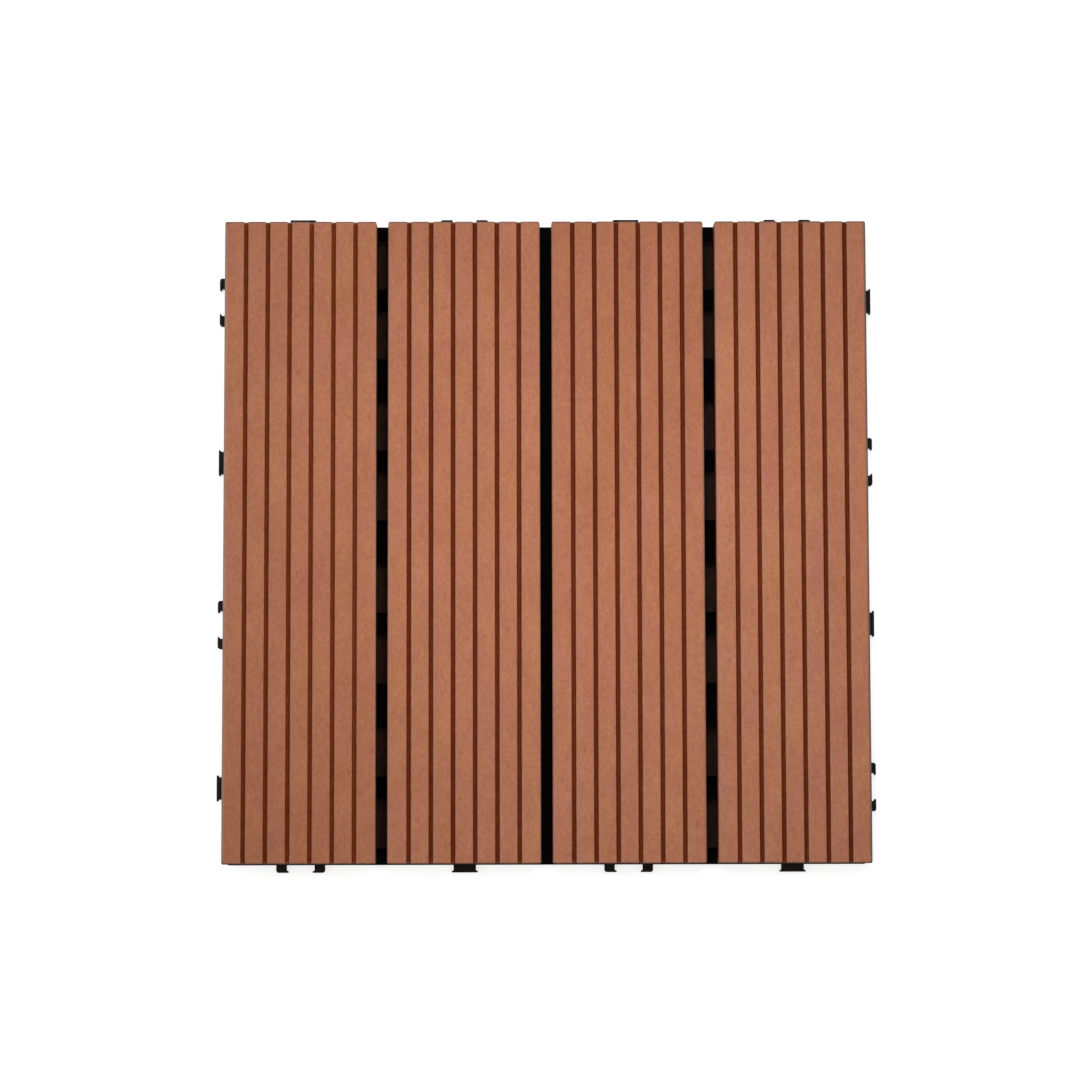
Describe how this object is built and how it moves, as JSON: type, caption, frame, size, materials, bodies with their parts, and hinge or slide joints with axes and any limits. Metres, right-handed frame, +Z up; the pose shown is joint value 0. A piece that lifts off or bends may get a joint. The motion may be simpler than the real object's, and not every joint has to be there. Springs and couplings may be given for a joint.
{
  "type": "interlocking deck tile",
  "caption": "Square snap-together deck tile: grooved reddish brown composite slats screwed to a black moulded drainage base with fork and tongue connectors.",
  "frame": {"origin": "on the ground under the centre of the tile", "axes": "+Z up through the slats, +Y along the slats, +X across them"},
  "size_m": [0.307, 0.307, 0.022],
  "materials": {
    "wood_plastic_composite": "brushed wood-plastic composite, reddish brown",
    "black_plastic": "fine moulded black polypropylene",
    "screw_steel": "plain stainless steel"
  },
  "bodies": {
    "root": {"base_grid": "black_plastic", "slat_1": "wood_plastic_composite", "slat_2": "wood_plastic_composite", "slat_3": "wood_plastic_composite", "slat_4": "wood_plastic_composite", "slat_screws": "screw_steel"}
  },
  "joints": []
}
